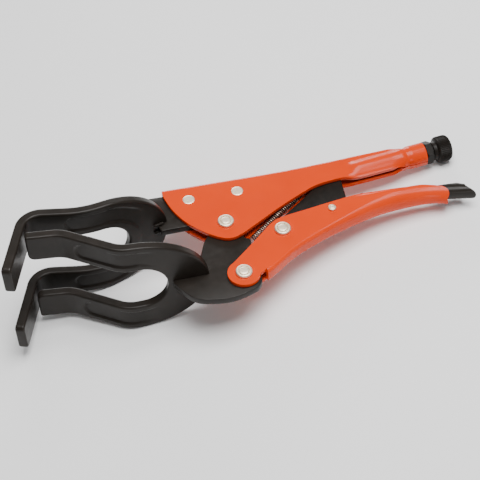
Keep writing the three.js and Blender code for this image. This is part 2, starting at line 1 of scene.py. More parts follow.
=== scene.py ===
"""Locking pliers with forked jaws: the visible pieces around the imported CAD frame.

The pieces are drawn in the pliers' own plane, in millimetres: origin on the jaw pivot, X towards
the rear of the handles, Y towards the upper handle and Z along the pivots. PLIERS then lays them
on the floor, in metres, where the CAD model lies.
"""

import json
import math

import bmesh
import bpy
import numpy as np
from mathutils import Euler, Matrix, Vector

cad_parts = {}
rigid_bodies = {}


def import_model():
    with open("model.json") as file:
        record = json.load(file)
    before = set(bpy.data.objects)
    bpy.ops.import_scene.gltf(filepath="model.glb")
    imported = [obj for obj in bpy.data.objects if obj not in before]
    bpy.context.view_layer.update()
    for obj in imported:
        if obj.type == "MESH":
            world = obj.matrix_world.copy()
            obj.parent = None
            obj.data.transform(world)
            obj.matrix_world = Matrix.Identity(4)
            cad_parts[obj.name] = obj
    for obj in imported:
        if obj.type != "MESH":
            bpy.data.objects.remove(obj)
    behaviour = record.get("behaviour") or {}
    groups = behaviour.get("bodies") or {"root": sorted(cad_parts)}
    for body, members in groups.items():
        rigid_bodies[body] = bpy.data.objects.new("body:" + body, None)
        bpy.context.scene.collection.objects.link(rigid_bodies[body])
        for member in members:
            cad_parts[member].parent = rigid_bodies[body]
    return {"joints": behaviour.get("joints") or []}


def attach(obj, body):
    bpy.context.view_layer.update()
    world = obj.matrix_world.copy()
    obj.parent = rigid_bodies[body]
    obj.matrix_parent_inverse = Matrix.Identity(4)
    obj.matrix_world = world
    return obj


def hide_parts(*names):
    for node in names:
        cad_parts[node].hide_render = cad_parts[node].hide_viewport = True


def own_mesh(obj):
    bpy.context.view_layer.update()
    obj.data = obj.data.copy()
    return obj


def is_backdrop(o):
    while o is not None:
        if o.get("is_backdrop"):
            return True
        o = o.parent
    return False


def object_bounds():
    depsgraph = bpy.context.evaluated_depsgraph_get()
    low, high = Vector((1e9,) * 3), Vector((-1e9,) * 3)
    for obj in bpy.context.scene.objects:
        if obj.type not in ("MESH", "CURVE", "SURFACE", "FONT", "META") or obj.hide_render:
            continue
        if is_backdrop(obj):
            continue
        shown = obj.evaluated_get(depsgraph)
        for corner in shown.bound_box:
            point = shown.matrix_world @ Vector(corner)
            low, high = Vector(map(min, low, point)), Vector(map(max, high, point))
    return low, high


for leftover in list(bpy.data.objects):
    bpy.data.objects.remove(leftover)

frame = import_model()
cad_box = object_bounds()
joints = {joint["name"]: joint for joint in frame["joints"]}

# ---- Driving dimensions (mm, degrees) ----
# Those that the CAD has too are the same there, except where a comment says otherwise.
LIE_TILT = 6.549
LIE_ROLL = -2.005
PLATE_HALF = 2.6
WALL = 2.6
OUTER_HALF = 5.6
BEND_RADIUS = 3.0

JAW_PIVOT = (0, 0)
HANDLE_PIVOT = (2, -49.3)
TOGGLE_PIVOT = (37.2, -16.9)
LEVER_PIVOT = (76, -6.3)
FRONT_RIVET = (-21.2, 28.3)
REAR_RIVET = (14.5, 28.2)
RIVET_RADIUS = 4.35
PIN_RADIUS = 4
PIN_HEAD_RADIUS = 5.9
PIN_HEAD_HEIGHT = 2
PIN_SEAT = OUTER_HALF + 0.2
LEVER_PIN_RADIUS = 1.9
LEVER_PIN_HEAD_RADIUS = 2.9
LEVER_PIN_HEAD_HEIGHT = 1.3
LEVER_PIN_SEAT = 6.5

FORK_HALF_THICKNESS = 3.4
FORK_OUTER_HALF = 40.7
FORK_INNER_HALF = 18.5
FORK_EDGE_RADIUS = 1.5
FORK_TIP_ROUNDING = 1.2
# The tips' corners are rounded here, by these radii, and cut off in the CAD.
UPPER_FORK = {
    "line": [(-154.8, -40.6, 0), (-137.5, 10, 14), (-95, 1.8, 60), (-38, 17.9, 0)],
    "outer_x": -40.3,
    "inner_x": -69,
    "reach": 47,
    "tip_x": None,
    "corners": (3.4, 3.4),
    "recess_from": -111,
}
LOWER_FORK = {
    "line": [(-145, -10.9, 0), (-115.6, -14, 22), (-78.8, -38.9, 22), (-17, -39.2, 0)],
    "outer_x": -20.6,
    "inner_x": -49.5,
    "reach": 54,
    "tip_x": -139.1,
    "corners": (1.6, 4.6),
    "recess_from": -107,
}
RECESS_DEPTH = 1.3
RECESS_HALF_WIDTH = 7

SCREW_TIP = (92, 29.3)
SCREW_RISE = 6.65
SCREW_START = 3.2
SCREW_END = 83  # 3 mm short of the CAD screw, inside the knob
NOSE_RADIUS = 2.5
NOSE_END = 13.5
THREAD_START = 15
SCREW_RADIUS = 4.4
THREAD_PITCH = 1.5
THREAD_DEPTH = 0.75
BULGE_RADIUS = 8
TUBE_RADIUS = 8.6
TUBE_END = 66.3
INSERT_RADIUS = 6.0  # 1 mm less than the CAD insert, inside the barrel
NUT_START = 66.7
NUT_END = 72.3
NUT_RADIUS = 8.9
KNOB_START = 73
KNOB_END = 87.2
KNOB_RADIUS = 9.8
KNURLS = 46

SPRING_EYE = (10.8, -19.8)
SPRING_TAB = (71, 30)
COIL_RADIUS = 2.05
WIRE_RADIUS = 0.5
COIL_PITCH = 1.8

# Camera, as the photograph was taken: its place, how it is turned, and its focal length.
CAMERA_PLACE = (-112.35, -640.51, 688.12)
CAMERA_TURN = (-42.3, 7.3, 10.6)
CAMERA_LENS = 100.1

PLIERS = (
    Matrix.Translation(joints["jaw_open"]["pos_m"])
    @ Matrix.Rotation(math.radians(LIE_ROLL), 4, "X")
    @ Matrix.Rotation(math.radians(LIE_TILT), 4, "Y")
    @ Matrix.Scale(0.001, 4)
)


# ---- Curves ----
def spline(points, steps=24):
    """A smooth curve through points, as an array with one row per point on it."""
    points = np.array(points, float)
    rows = []
    for i in range(len(points) - 1):
        before = points[max(i - 1, 0)]
        start, end = points[i], points[i + 1]
        after = points[min(i + 2, len(points) - 1)]
        rise0, rise1 = (end - before) / 2, (after - start) / 2
        for t in np.linspace(0, 1, steps, endpoint=False):
            rows.append(
                start
                + t * (rise0 + t * (3 * (end - start) - 2 * rise0 - rise1
                + t * (2 * (start - end) + rise0 + rise1)))
            )
    rows.append(points[-1])
    return np.array(rows)


def over_x(points):
    """A smooth curve's other columns as a function of its first column."""
    curve = spline(points)
    order = np.argsort(curve[:, 0], kind="stable")
    curve = curve[order]

    def value(x):
        return np.array([np.interp(x, curve[:, 0], column) for column in curve.T[1:]])

    return value


def smoothstep(low, high, value):
    """0 up to low, 1 from high on, and a smooth rise between."""
    t = np.clip((value - low) / (high - low), 0, 1)
    return t * t * (3 - 2 * t)


def rounded_outline(corners, steps=10):
    """A closed outline through [x, y, corner length] points, with rounded corners."""
    rows = []
    for i, (x, y, length) in enumerate(corners):
        corner = np.array([x, y], float)
        if length == 0:
            rows.append(corner)
            continue
        before = np.array(corners[i - 1][:2], float) - corner
        after = np.array(corners[(i + 1) % len(corners)][:2], float) - corner
        start = corner + before / np.linalg.norm(before) * length
        end = corner + after / np.linalg.norm(after) * length
        for t in np.linspace(0, 1, steps + 1):
            rows.append((1 - t) ** 2 * start + 2 * t * (1 - t) * corner + t * t * end)
    return np.array(rows)


# ---- Meshes ----
def as_mesh(name, vertices, faces):
    mesh = bpy.data.meshes.new(name)
    mesh.from_pydata([tuple(vertex) for vertex in vertices], [], faces)
    mesh.validate()
    return mesh


def modified(mesh, *modifiers):
    """The mesh with these modifiers applied: each is (kind, settings)."""
    helper = bpy.data.objects.new("helper", mesh)
    bpy.context.scene.collection.objects.link(helper)
    for kind, settings in modifiers:
        modifier = helper.modifiers.new(kind, kind)
        for key, value in settings.items():
            setattr(modifier, key, value)
    depsgraph = bpy.context.evaluated_depsgraph_get()
    result = bpy.data.meshes.new_from_object(helper.evaluated_get(depsgraph))
    bpy.data.objects.remove(helper)
    return result


def soft_edges(width, segments=3, angle=32):
    """A bevel on every edge sharper than angle."""
    return (
        "BEVEL",
        {
            "width": width,
            "segments": segments,
            "limit_method": "ANGLE",
            "angle_limit": math.radians(angle),
            "harden_normals": False,
        },
    )


def faces_outward(mesh):
    """Turns the faces of a closed mesh outward."""
    shape = bmesh.new()
    shape.from_mesh(mesh)
    bmesh.ops.recalc_face_normals(shape, faces=shape.faces)
    shape.to_mesh(mesh)
    shape.free()


def grid_faces(first, rows, columns):
    """Faces over a grid of points that are numbered row by row from first."""
    faces = []
    for row in range(rows - 1):
        a, b = first + row * columns, first + (row + 1) * columns
        faces += [(a + i, a + i + 1, b + i + 1, b + i) for i in range(columns - 1)]
    return faces


def skin(name, rings, around_closed=True, caps=True):
    """A mesh over rings of points; rings is an array of ring, point, coordinate."""
    rings = np.array(rings, float)
    count, around = rings.shape[:2]
    faces = []
    for r in range(count - 1):
        for i in range(around if around_closed else around - 1):
            j = (i + 1) % around
            a, b = r * around, (r + 1) * around
            faces.append((a + i, a + j, b + j, b + i))
    if caps:
        faces.append(tuple(range(around))[::-1])
        faces.append(tuple(range((count - 1) * around, count * around)))
    mesh = as_mesh(name, rings.reshape(-1, 3), faces)
    if caps:
        faces_outward(mesh)
    return mesh


def plate(name, outline, half, edge=0.45):
    """An outline in X and Y with thickness along Z and softened edges."""
    count = len(outline)
    vertices = [(x, y, -half) for x, y in outline] + [(x, y, half) for x, y in outline]
    faces = [tuple(range(count))[::-1], tuple(range(count, 2 * count))]
    faces += [(i, (i + 1) % count, count + (i + 1) % count, count + i) for i in range(count)]
    mesh = as_mesh(name, vertices, faces)
    faces_outward(mesh)
    return modified(mesh, soft_edges(edge))


def turned(name, profile, place, segments=64, ripple=None):
    """A turned shape. profile holds (radius, along) pairs, place maps (x, y, along) arrays to
    points, and ripple can change the radius: it gets radius, along and angle."""
    angles = np.linspace(0, 2 * math.pi, segments, endpoint=False)
    rings = []
    for radius, along in profile:
        radii = np.full(segments, float(max(radius, 0.01)))
        if ripple:
            radii = ripple(radii, along, angles)
        rings.append(place(radii * np.cos(angles), radii * np.sin(angles), along))
    return skin(name, rings)


def on_pivot(centre):
    def place(x, y, along):
        return np.stack([centre[0] + x, centre[1] + y, np.full_like(x, along)], axis=-1)

    return place


def on_screw(x, y, along):
    rise = math.radians(SCREW_RISE)
    forward, upward = (math.cos(rise), math.sin(rise)), (-math.sin(rise), math.cos(rise))
    return np.stack(
        [
            SCREW_TIP[0] + along * forward[0] + x * upward[0],
            SCREW_TIP[1] + along * forward[1] + x * upward[1],
            y,
        ],
        axis=-1,
    )


def tube(name, path, radius, around=10):
    """A round wire along a path of points; radius is one number or one for each point."""
    path = np.array(path, float)
    radii = np.broadcast_to(radius, len(path))
    tangents = np.gradient(path, axis=0)
    tangents /= np.linalg.norm(tangents, axis=1)[:, None]
    side = np.cross(tangents[0], (0.3, 0.2, 0.9))
    angles = np.linspace(0, 2 * math.pi, around, endpoint=False)[:, None]
    rings = []
    for point, tangent, size in zip(path, tangents, radii):
        side = side - tangent * side.dot(tangent)
        side /= np.linalg.norm(side)
        other = np.cross(tangent, side)
        rings.append(point + size * (np.cos(angles) * side + np.sin(angles) * other))
    return skin(name, rings)


def add_piece(name, mesh, material, body, nodes, smooth_angle=38):
    """Lays a mesh on the floor, gives it its material and lets it stand for its CAD nodes."""
    mesh.transform(PLIERS)
    mesh.polygons.foreach_set("use_smooth", [True] * len(mesh.polygons))
    mesh.set_sharp_from_angle(angle=math.radians(smooth_angle))
    mesh.materials.clear()
    mesh.materials.append(material)
    mesh.name = name
    piece = bpy.data.objects.new(name, mesh)
    bpy.context.scene.collection.objects.link(piece)
    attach(piece, body)
    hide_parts(*nodes)
    return piece


# ---- Materials ----
def linear(red, green, blue):
    """A colour given as sRGB 0 to 255, as the shader takes it."""
    return tuple(((c / 255 + 0.055) / 1.055) ** 2.4 for c in (red, green, blue)) + (1.0,)


def coating(slot, light, dark, roughness, patches, grain, depth, **settings):
    """A surface whose colour drifts between two tones and whose grain shows as fine bumps.
    patches and grain are sizes in metres, roughness is a lowest and highest value."""
    material = bpy.data.materials.new(slot)
    material["slot"] = slot
    material.use_nodes = True
    nodes, links = material.node_tree.nodes, material.node_tree.links
    shader = nodes["Principled BSDF"]
    for name, value in settings.items():
        shader.inputs[name.replace("_", " ")].default_value = value
    place = nodes.new("ShaderNodeTexCoord")

    def noise(size, detail):
        texture = nodes.new("ShaderNodeTexNoise")
        texture.inputs["Scale"].default_value = 1 / size
        texture.inputs["Detail"].default_value = detail
        links.new(place.outputs["Object"], texture.inputs["Vector"])
        return texture.outputs["Fac"]

    def ranged(value, low, high):
        spread = nodes.new("ShaderNodeMapRange")
        spread.inputs["From Min"].default_value = 0.3
        spread.inputs["From Max"].default_value = 0.7
        spread.inputs["To Min"].default_value = low
        spread.inputs["To Max"].default_value = high
        links.new(value, spread.inputs["Value"])
        return spread.outputs["Result"]

    blend = nodes.new("ShaderNodeMix")
    blend.data_type = "RGBA"
    blend.inputs["A"].default_value = dark
    blend.inputs["B"].default_value = light
    links.new(ranged(noise(patches, 3), 0, 1), blend.inputs["Factor"])
    links.new(blend.outputs["Result"], shader.inputs["Base Color"])
    links.new(ranged(noise(patches / 3, 4), *roughness), shader.inputs["Roughness"])
    bump = nodes.new("ShaderNodeBump")
    bump.inputs["Distance"].default_value = depth
    bump.inputs["Strength"].default_value = 0.6
    links.new(noise(grain, 3), bump.inputs["Height"])
    links.new(bump.outputs["Normal"], shader.inputs["Normal"])
    return material


orange = coating(
    "orange_enamel", linear(212, 60, 0), linear(206, 56, 0), (0.2, 0.25),
    patches=0.03, grain=0.0016, depth=0.00002, Specular_IOR_Level=0.2,
)
black = coating(
    "black_enamel", linear(36, 31, 27), linear(29, 25, 21), (0.3, 0.38),
    patches=0.012, grain=0.0011, depth=0.00003, Specular_IOR_Level=0.2,
)
nickel = coating(
    "nickel_plate", linear(247, 232, 207), linear(233, 217, 192), (0.4, 0.5),
    patches=0.003, grain=0.0005, depth=0.00001, Metallic=1.0,
)
dark_steel = coating(
    "black_oxide", linear(27, 22, 18), linear(19, 16, 13), (0.36, 0.5),
    patches=0.004, grain=0.0006, depth=0.00002, Specular_IOR_Level=0.16,
)
spring_steel = coating(
    "spring_steel", linear(176, 156, 142), linear(112, 98, 90), (0.34, 0.46),
    patches=0.003, grain=0.0005, depth=0.00001, Metallic=1.0,
)


# ---- Forks ----
def side_line(line):
    """Points and normals along a bar's middle line, with its bends rounded, at even spacing."""
    rows = []
    for i, (x, y, radius) in enumerate(line):
        corner = np.array([x, y], float)
        if radius == 0:
            rows.append(corner)
            continue
        inward = np.array(line[i - 1][:2], float) - corner
        onward = np.array(line[i + 1][:2], float) - corner
        inward /= np.linalg.norm(inward)
        onward /= np.linalg.norm(onward)
        half = math.acos(inward @ onward) / 2
        middle = inward + onward
        centre = corner + middle / np.linalg.norm(middle) * radius / math.sin(half)
        start = corner + inward * radius / math.tan(half) - centre
        end = corner + onward * radius / math.tan(half) - centre
        turn = math.copysign(math.pi - 2 * half, start[0] * end[1] - start[1] * end[0])
        for angle in np.linspace(0, turn, 24):
            c, s = math.cos(angle), math.sin(angle)
            rows.append(centre + (c * start[0] - s * start[1], s * start[0] + c * start[1]))
    rows = np.array(rows)
    lengths = np.concatenate([[0], np.cumsum(np.linalg.norm(np.diff(rows, axis=0), axis=1))])
    even = np.linspace(0, lengths[-1], 700)
    x, y = (np.interp(even, lengths, column) for column in rows.T)
    heading = np.unwrap(np.arctan2(np.gradient(y), np.gradient(x)))
    return even, x, y, heading


def bar_section(half_width, half_thickness, radius, per_side=28, per_corner=6):
    """A rounded rectangle's outline as (across, thickness) pairs."""
    inset = np.array([half_width - radius, half_thickness - radius])
    centres = [inset * signs for signs in ((1, 1), (-1, 1), (-1, -1), (1, -1))]
    rows = []
    for quarter, centre in enumerate(centres):
        for step in range(per_corner + 1):
            angle = math.radians(90 * quarter + 90 * step / per_corner)
            rows.append(centre + radius * np.array([math.cos(angle), math.sin(angle)]))
        end = rows[-1]
        goal = end + centres[(quarter + 1) % 4] - centre
        for t in np.linspace(0, 1, per_side + 1)[1:-1]:
            rows.append(end + t * (goal - end))
    return np.array(rows)


def fork_edges(shape, at, start):
    """The bar's inner and outer edge from one tip to the middle of the bend: how far along the
    middle line and how far out each is, and the distance from the tip."""
    outer_centre = shape["outer_x"] - shape["reach"]
    inner_centre = shape["inner_x"] - FORK_INNER_HALF
    outer_corner, inner_corner = shape["corners"]
    longest = max(shape["corners"])
    outer_leg = at(outer_centre) - start
    inner_leg = at(inner_centre) - start
    tip_steps = longest * (1 - np.cos(np.linspace(0, math.pi / 2, 11)))
    leg_steps = np.linspace(longest, outer_leg, 110)[1:]
    edges = []
    for step in np.concatenate([tip_steps, leg_steps]):
        edges.append((
            start + step / outer_leg * inner_leg,
            FORK_INNER_HALF + corner_cut(step, inner_corner),
            start + step,
            FORK_OUTER_HALF - corner_cut(step, outer_corner),
            step,
        ))
    for angle in np.linspace(math.pi / 2, 0, 40)[1:]:
        edges.append((
            at(inner_centre + FORK_INNER_HALF * math.cos(angle)),
            FORK_INNER_HALF * math.sin(angle),
            at(outer_centre + shape["reach"] * math.cos(angle)),
            FORK_OUTER_HALF * math.sin(angle),
            math.inf,
        ))
    return edges


def fork(name, shape):
    """A flat bar bent to a U in plan and to its own line in side view."""
    along, line_x, line_y, heading = side_line(shape["line"])
    behind_hook = line_x > -133
    start = 0 if shape["tip_x"] is None else float(np.interp(shape["tip_x"], line_x, along))

    def at(x):
        return np.interp(x, line_x[behind_hook], along[behind_hook])

    rings = []
    for inner, inner_z, outer, outer_z, step in fork_edges(shape, at, start):
        width = math.hypot(outer - inner, outer_z - inner_z)
        thickness = FORK_HALF_THICKNESS - corner_cut(step, FORK_TIP_ROUNDING)
        section = bar_section(width / 2, thickness, min(FORK_EDGE_RADIUS, thickness * 0.7))
        share = section[:, 0] / width + 0.5
        place = inner + share * (outer - inner)
        z = inner_z + share * (outer_z - inner_z)
        x = np.interp(place, along, line_x)
        y = np.interp(place, along, line_y)
        turn = np.interp(place, along, heading)
        thick = section[:, 1] + recess(section, x, shape["recess_from"])
        rings.append(np.stack([x - np.sin(turn) * thick, y + np.cos(turn) * thick, z], axis=-1))
    mirrored = [ring * (1, 1, -1) for ring in rings[-2::-1]]
    return skin(name, rings + mirrored)


def corner_cut(step, radius):
    """How far a round corner takes a bar's edge in, this far from the bar's end."""
    rest = max(radius - step, 0)
    return radius - math.sqrt(radius ** 2 - rest ** 2)


def recess(section, x, start):
    """How far the shallow channel along a prong's underside sinks in, from its round front end."""
    across = section[:, 0] / RECESS_HALF_WIDTH
    front = start + RECESS_HALF_WIDTH * (1 - np.sqrt(np.maximum(1 - across ** 2, 0)))
    walls = 1 - smoothstep(0.8, 1, np.abs(across))
    lengthwise = smoothstep(0, 1.6, x - front) * (1 - smoothstep(-72, -56, x))
    return np.where(section[:, 1] < 0, RECESS_DEPTH * walls * lengthwise, 0)


# ---- Jaw plates and toggle ----
UPPER_PLATE = [
    (-60, 39.6, 10), (24, 37.4, 2), (24, 12, 3), (8, 5.6, 0), (-45.5, 5.6, 1.5),
    (-47, 12, 1), (-60, 10, 1),
]
LOWER_PLATE = [
    (-12.3, 0, 0), (-12.3, -4, 2), (-18.5, -12, 3), (-24, -26, 6), (-31, -35, 3),
    (-31, -40, 0), (-46, -40, 0), (-46, -45, 2), (-35, -63, 9), (-9, -68.4, 12),
    (12.5, -60.5, 6), (14.3, -49, 5), (10, -36, 5), (8.5, -26, 2), (13, -24, 2),
    (13.6, -17.2, 1.5), (9.5, -14.5, 1), (12.3, -4, 2), (12.3, 0, 0),
]
TOGGLE = [
    (30.5, -10.5, 5), (84, 31, 4), (89.5, 34.5, 2), (91, 26, 4), (89.6, 4.2, 2),
    (84, 2.2, 3), (56, -3.2, 8), (44, -22.5, 6), (30, -23.5, 5),
]


def lower_plate_outline():
    """The lower plate's outline, with its round boss about the jaw pivot."""
    rest = rounded_outline(LOWER_PLATE)
    boss = [
        (12.3 * math.cos(angle), 12.3 * math.sin(angle))
        for angle in np.linspace(0, math.pi, 40)[1:-1]
    ]
    return np.concatenate([rest, boss])


# ---- Handles and lever: pressed channels ----
UPPER_SPINE = over_x([
    (-46, 43.3), (0, 42.2), (50, 41.4), (92, 42.7), (104, 43.4), (125, 44.2), (141, 45),
])
UPPER_EDGE = over_x([
    (-38.8, 37), (-34.6, 21), (-27, 6.2), (-16.2, -6.2), (-6, -14), (1, -15.9), (8, -14),
    (19.2, -7.7), (40, 4.6), (60, 15), (73, 20.2), (90, 22.4), (102, 21.4), (120, 23),
    (136, 24.8), (142, 26),
])
UPPER_FRONT_X = -38.6
UPPER_CHANNEL_END = 131
UPPER_TUBE_FROM = 143


def screw_height(x):
    return SCREW_TIP[1] + (x - SCREW_TIP[0]) * math.tan(math.radians(SCREW_RISE))


def upper_section(x, columns=40):
    """Half of the upper handle's section at x, from the lip up the wall to the spine's middle."""
    top = float(UPPER_SPINE(x)[0])
    lip = float(UPPER_EDGE(x)[0])
    corner_start = top - BEND_RADIUS
    heights = np.linspace(lip, corner_start, columns)
    walls = np.full(columns, OUTER_HALF)
    swell = smoothstep(97, 106, x)
    axis = screw_height(x)
    circle = np.sqrt(np.clip(BULGE_RADIUS ** 2 - (heights - axis) ** 2, 0, None))
    bulged = np.log(np.exp(circle * 2.2) + np.exp(OUTER_HALF * 2.2)) / 2.2
    walls = walls + swell * (bulged - OUTER_HALF)
    rolled = smoothstep(92, 104, x) * 1.9 * (1 - smoothstep(0, 4.2, heights - lip)) ** 1.3
    walls = walls - rolled
    wall = np.stack([np.full(columns, x), heights, walls], axis=-1)
    corner = [
        (x, corner_start + BEND_RADIUS * math.sin(a),
         walls[-1] - BEND_RADIUS * (1 - math.cos(a)))
        for a in np.linspace(0, math.pi / 2, 9)[1:]
    ]
    edge = corner[-1][2]
    flat = [(x, top, edge * (1 - t)) for t in np.linspace(0, 1, 5)[1:]]
    return np.concatenate([wall, corner, flat])


def tube_section(along, radius, count):
    """Half a ring of the barrel, from its seam underneath to its top."""
    angles = np.linspace(math.radians(181.5), math.radians(360), count)
    return on_screw(radius * np.cos(angles), -radius * np.sin(angles), along)


def tube_radius(along):
    waist = 0.75 * (1 - smoothstep(0, 3.6, abs(along - 51.5)))
    return TUBE_RADIUS - waist


def upper_handle():
    rise = math.cos(math.radians(SCREW_RISE))
    stations = np.concatenate([
        np.linspace(UPPER_FRONT_X, UPPER_CHANNEL_END, 150),
        np.linspace(UPPER_CHANNEL_END, UPPER_TUBE_FROM, 18)[1:],
    ])
    rings = []
    for x in stations:
        half = upper_section(x)
        share = smoothstep(UPPER_CHANNEL_END, UPPER_TUBE_FROM, x)
        along = (x - SCREW_TIP[0]) / rise
        round_half = tube_section(along, tube_radius(along), len(half))
        rings.append(half * (1 - share) + round_half * share)
    start = (UPPER_TUBE_FROM - SCREW_TIP[0]) / rise
    for along in np.linspace(start, TUBE_END, 20)[1:]:
        rings.append(tube_section(along, tube_radius(along), len(rings[0])))
    return pressed(skin("upper_handle", both_sides(rings), False, False), WALL, spine=1)


def both_sides(halves):
    """Whole sections from halves that end on the pliers' middle plane."""
    return [np.concatenate([half, half[-2::-1] * (1, 1, -1)]) for half in halves]


def pressed(mesh, sheet, spine, edge=0.5):
    """Sheet metal behind an open surface, with its cut edges softened. spine is the side of the
    piece, 1 for up or -1 for down, on which the channel is closed."""
    level = [face for face in mesh.polygons if abs(face.normal.y) > 0.95]
    highest = max(level, key=lambda face: spine * face.center.y)
    if highest.normal.y * spine < 0:
        mesh.flip_normals()
    solidify = {"thickness": sheet, "offset": -1}
    return modified(mesh, ("SOLIDIFY", solidify), soft_edges(edge, angle=50))


LOWER_SPINE = over_x([
    (14, -54.6, 5.6, 3), (23, -49.8, 5.6, 3), (42.6, -36.2, 5.6, 3), (62.9, -26.6, 5.8, 3.2),
    (83.3, -19.4, 6.6, 4.4), (103.8, -13.6, 7.8, 6.4), (120, -11, 8.8, 8),
    (134, -10.4, 8.8, 8.4), (147, -10.7, 8.8, 8.4), (157, -12.4, 8.8, 8.4),
    (167, -15.4, 8.8, 8.4),
])
LOWER_EDGE = over_x([
    (-6, -41.6), (8.5, -29), (23.8, -15.2), (31, -9), (39, -5.2), (60, -2), (80, 0.4),
    (103, 2.2), (130, 0.8), (146, -0.8), (168, -6),
])
SPINE_START_X = 18.1  # 1.5 mm behind the CAD's: the sheet's cut edge leans into the plate's swing
LUG_RADIUS = 11.4
LUG_COLUMNS = 26
HANDLE_END = {"start_x": 140, "centre_x": 153.5, "radius": 10.2, "depth": 9, "middle": 0.5}
LEVER_START_X = 68
LEVER_END = {"start_x": 170, "centre_x": 175.5, "radius": 5.7, "depth": 11, "middle": 0}
END_ARC = 0.86  # share of its ellipse's half height that an end takes up, seen from the side


def channel_half(x, bottom, lip, half, radius, roll, columns=26):
    """Half a section that opens upwards, from the lip down the wall to the spine's middle."""
    corner_end = bottom + radius
    heights = np.linspace(lip, corner_end, columns)
    walls = half - roll * (1 - smoothstep(0, 3.6, lip - heights)) ** 1.4
    wall = np.stack([np.full(columns, x), heights, walls], axis=-1)
    across = min(radius, walls[-1] - 0.5)
    corner = [
        (x, corner_end - radius * math.sin(a), walls[-1] - across * (1 - math.cos(a)))
        for a in np.linspace(0, math.pi / 2, 13)[1:]
    ]
    edge = corner[-1][2]
    flat = [(x, bottom, edge * (1 - t)) for t in np.linspace(0, 1, 4)[1:]]
    return np.concatenate([wall, corner, flat])


def end_stations(end, count):
    """Places along a handle's rear end, after its start."""
    return np.linspace(end["start_x"], end["centre_x"] + end["radius"], count)[1:]


def rounded_end(ring, start_x, centre_x, radius, depth, middle):
    """Moves a ring's points towards an end that is round in plan. Seen from the side, the end is
    part of an ellipse whose half length is depth: its top and bottom both fall back when middle
    is 0.5, and only its top when middle is 0."""
    share = (ring[:, 0] - start_x) / (centre_x + radius - start_x)
    reach = centre_x + np.sqrt(np.clip(radius ** 2 - ring[:, 2] ** 2, 0, None))
    low, high = ring[:, 1].min(), ring[:, 1].max()
    height = END_ARC * ((ring[:, 1] - low) / (high - low) - middle) / (1 - middle)
    reach = reach - depth * (1 - np.sqrt(1 - height ** 2))
    return start_x + share * (reach - start_x)


def lug_heights(x):
    """Top and bottom of the lower handle's side wall ahead of its spine."""
    reach = math.sqrt(max(LUG_RADIUS ** 2 - (x - HANDLE_PIVOT[0]) ** 2, 0))
    top, bottom = HANDLE_PIVOT[1] + reach, HANDLE_PIVOT[1] - reach
    if x > -6:
        top = max(top, float(LOWER_EDGE(x)[0]))
    if x > 8:
        bottom = min(bottom, -52 - 0.1 * (x - 8))
    return top, bottom


def lug_wall():
    """The side wall ahead of the lower handle's spine, as columns of points."""
    columns = []
    for angle in np.linspace(0.02, 3.0, 40):
        x = HANDLE_PIVOT[0] - LUG_RADIUS * math.cos(angle)
        heights = np.linspace(*lug_heights(x), LUG_COLUMNS)
        columns.append([(x, y, OUTER_HALF) for y in heights])
    return np.array(columns)


def lower_sections():
    """The lower handle's sections behind the start of its spine."""
    stations = np.concatenate([
        np.linspace(SPINE_START_X, HANDLE_END["start_x"], 120), end_stations(HANDLE_END, 24),
    ])
    halves = []
    for x in stations:
        bottom, half, radius = LOWER_SPINE(x)
        roll = 2.0 * smoothstep(88, 118, x) - 0.9 * smoothstep(132, 150, x)
        ring = channel_half(x, bottom, float(LOWER_EDGE(x)[0]), half, radius, roll)
        if x > HANDLE_END["start_x"]:
            ring[:, 0] = rounded_end(ring, **HANDLE_END)
        halves.append(ring)
    return both_sides(halves)


def lower_handle():
    sections, wall = lower_sections(), lug_wall()
    around = len(sections[0])
    vertices = [point for section in sections for point in section]
    faces = grid_faces(0, len(sections), around)
    for side in (1, -1):
        first = len(vertices)
        vertices += list((wall * (1, 1, side)).reshape(-1, 3))
        lug_faces = grid_faces(first, len(wall), LUG_COLUMNS)
        last = len(vertices) - LUG_COLUMNS
        for i in range(LUG_COLUMNS - 1):
            near, far = (i, i + 1) if side == 1 else (around - 1 - i, around - 2 - i)
            lug_faces.append((last + i, last + i + 1, far, near))
        faces += [face[::side] for face in lug_faces]
    return pressed(as_mesh("lower_handle", vertices, faces), WALL, spine=-1)


LEVER_SHEET = 1.6
LEVER_SPINE = over_x([
    (66, -13.6, 2.6, 1.8), (84, -13.2, 2.7, 1.8), (100, -10.8, 3.8, 2.6), (120, -7.9, 5.6, 4.6),
    (134, -7.4, 5.7, 5), (150, -8, 5.7, 5), (164, -10.6, 5.7, 5), (184, -14.4, 5.5, 5),
])
LEVER_EDGE = over_x([
    (68, -8), (70, -4.4), (78, -2.6), (89, -0.6), (96, 1.2), (99.5, 5), (103, 4.6),
    (107, 0.6), (125, -0.4), (150, -0.9), (168, -1.8), (176, -2.9), (184, -4.2),
])


def release_lever():
    stations = np.concatenate([
        np.linspace(LEVER_START_X, LEVER_END["start_x"], 110), end_stations(LEVER_END, 16),
    ])
    halves = []
    for x in stations:
        bottom, half, radius = LEVER_SPINE(x)
        roll = 1.6 * smoothstep(104, 124, x)
        ring = channel_half(x, bottom, float(LEVER_EDGE(x)[0]), half, radius, roll)
        if x > LEVER_END["start_x"]:
            ring[:, 0] = rounded_end(ring, **LEVER_END)
        halves.append(ring)
    lever = skin("release_lever", both_sides(halves), False, False)
    return pressed(lever, LEVER_SHEET, spine=-1, edge=0.4)


